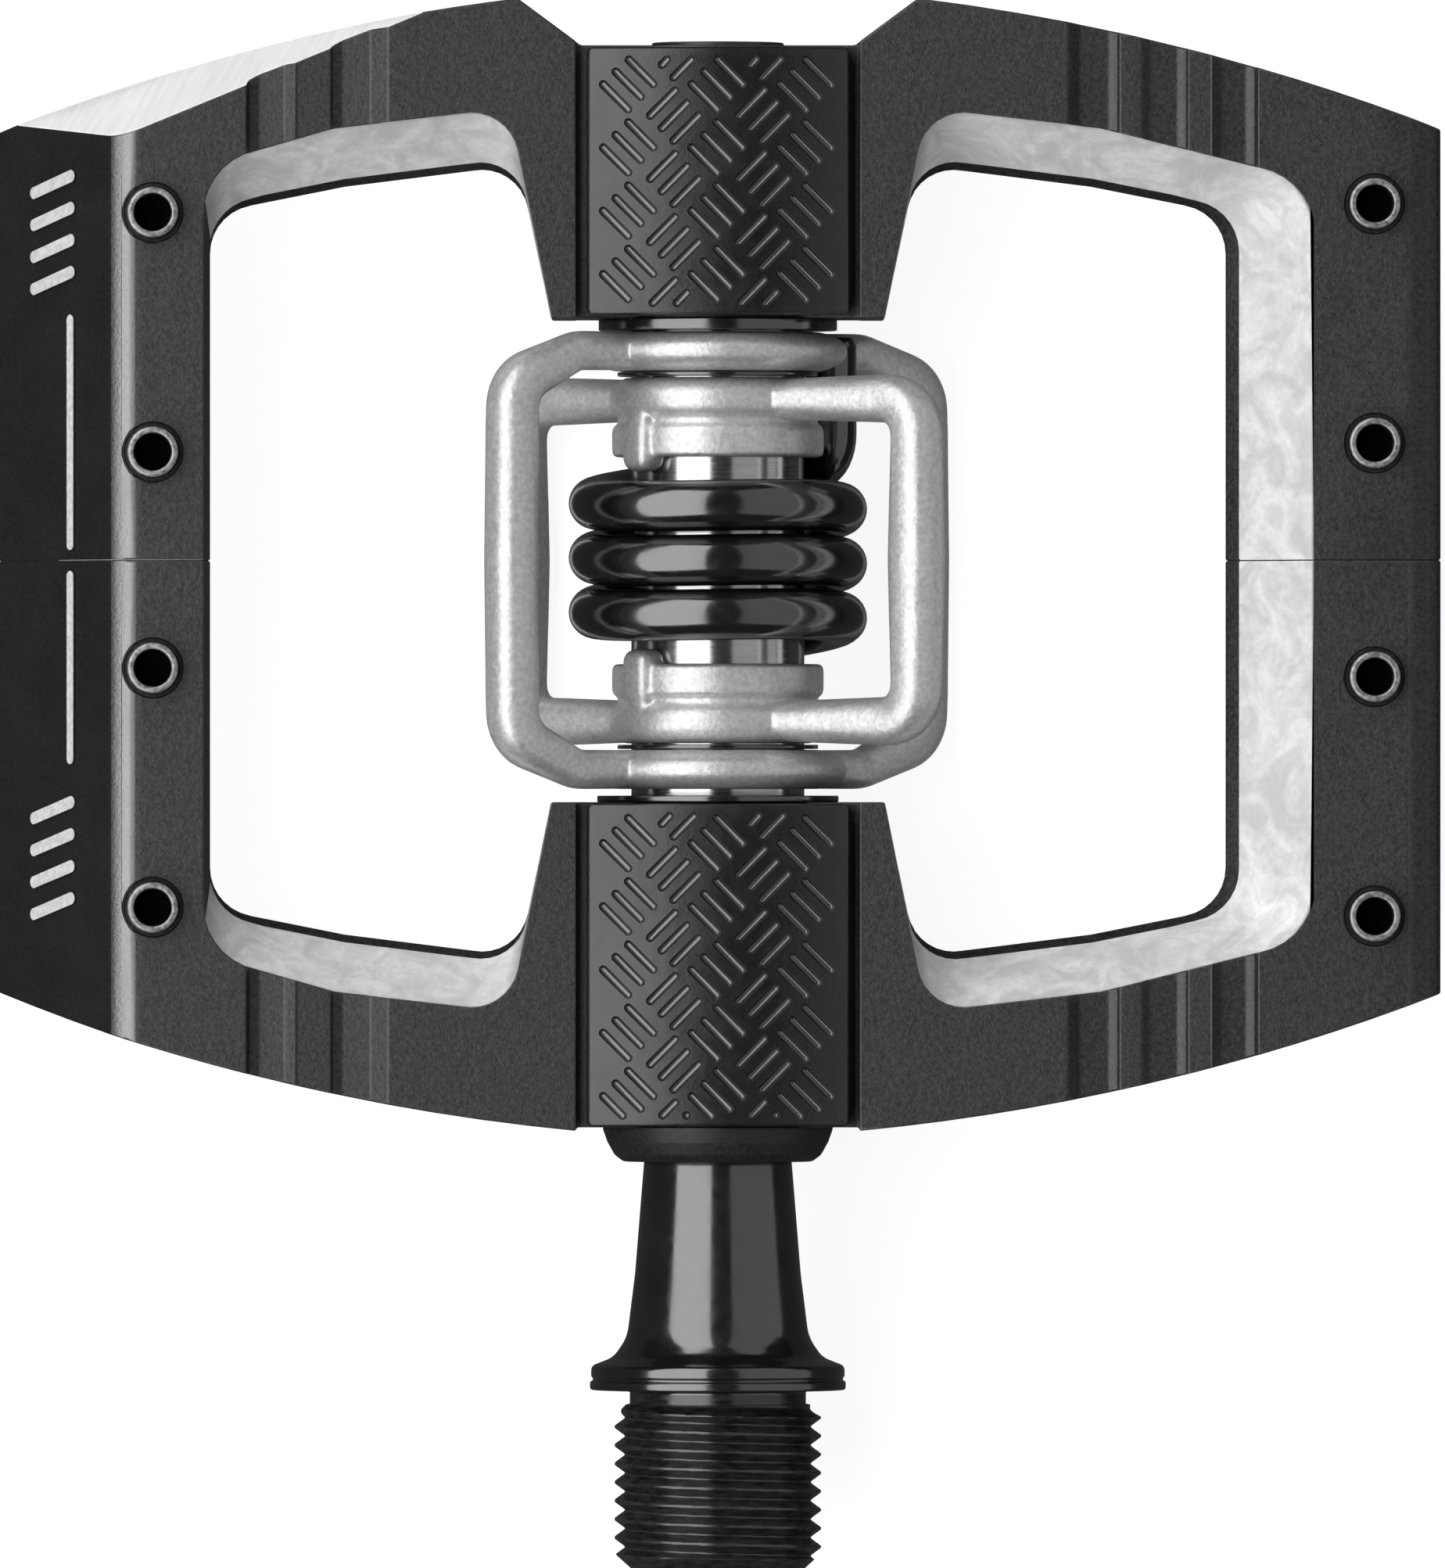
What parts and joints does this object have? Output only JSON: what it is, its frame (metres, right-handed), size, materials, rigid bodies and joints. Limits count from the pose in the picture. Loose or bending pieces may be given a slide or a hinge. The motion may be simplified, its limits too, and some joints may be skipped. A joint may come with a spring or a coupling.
{
  "type": "clipless pedal",
  "caption": "Platform pedal with two sprung wings that grip a shoe cleat, traction pads and pins, turning on a threaded spindle.",
  "frame": {"origin": "on the spindle axis, in the shoulder face that bears on the crank", "axes": "+Y along the spindle, outboard, away from the crank; +Z normal to the platform's upper face; X fore and aft, with the outer wing's upper bar on the -X side"},
  "size_m": [0.0992, 0.1082, 0.0252],
  "materials": {
    "black_anodised_cage": "bead blasted, black anodised",
    "black_steel": "gloss black coating",
    "cast_stainless": "satin, blasted casting",
    "polished_stainless": "polished",
    "black_spring_steel": "gloss black coating",
    "bearing_steel": "ground",
    "pad_plastic": "satin moulded",
    "bushing_polymer": "moulded",
    "seal_rubber": "matt",
    "cap_plastic": "gloss"
  },
  "bodies": {
    "spindle_assembly": {"spindle": "black_steel", "spindle_nut": "bearing_steel", "bearing_inner_race": "bearing_steel"},
    "platform": {"bearing_outer_race": "bearing_steel", "bearing_balls": "polished_stainless", "ball_cage": "bushing_polymer", "bearing_shields": "seal_rubber", "glide_bushing": "bushing_polymer", "inboard_seal": "seal_rubber", "seal_cup": "seal_rubber", "hub_sleeve": "polished_stainless", "cage_outboard": "black_anodised_cage", "cage_inboard": "black_anodised_cage", "pad_top_outboard": "pad_plastic", "pad_top_inboard": "pad_plastic", "pad_bottom_outboard": "pad_plastic", "pad_bottom_inboard": "pad_plastic", "pins_top": "black_steel", "pins_bottom": "black_steel", "cage_bolts": "black_steel", "end_cap": "cap_plastic", "end_cap_ring": "seal_rubber", "shim_outboard": "black_steel", "shim_inboard": "black_steel", "wing_washer_outboard": "black_steel", "wing_washer_inboard": "black_steel", "wing_spring": "black_spring_steel"},
    "outer_wing": {"outer_wing": "cast_stainless"},
    "inner_wing": {"inner_wing": "cast_stainless"}
  },
  "joints": [
    {"name": "platform_spin", "type": "hinge", "parent": "spindle_assembly", "child": "platform", "pos_m": [0, 0.057, 0], "axis": [0, 1, 0], "continuous": true},
    {"name": "outer_wing_open", "type": "hinge", "parent": "platform", "child": "outer_wing", "pos_m": [0, 0.057, 0], "axis": [0, 1, 0], "range_deg": [-25, 0], "stiffness_Nm_per_rad": 0.45, "springref_deg": 20.05, "deforming": ["wing_spring"]},
    {"name": "inner_wing_open", "type": "hinge", "parent": "platform", "child": "inner_wing", "pos_m": [0, 0.057, 0], "axis": [0, 1, 0], "range_deg": [0, 25], "stiffness_Nm_per_rad": 0.45, "springref_deg": -20.05, "deforming": ["wing_spring"]}
  ]
}
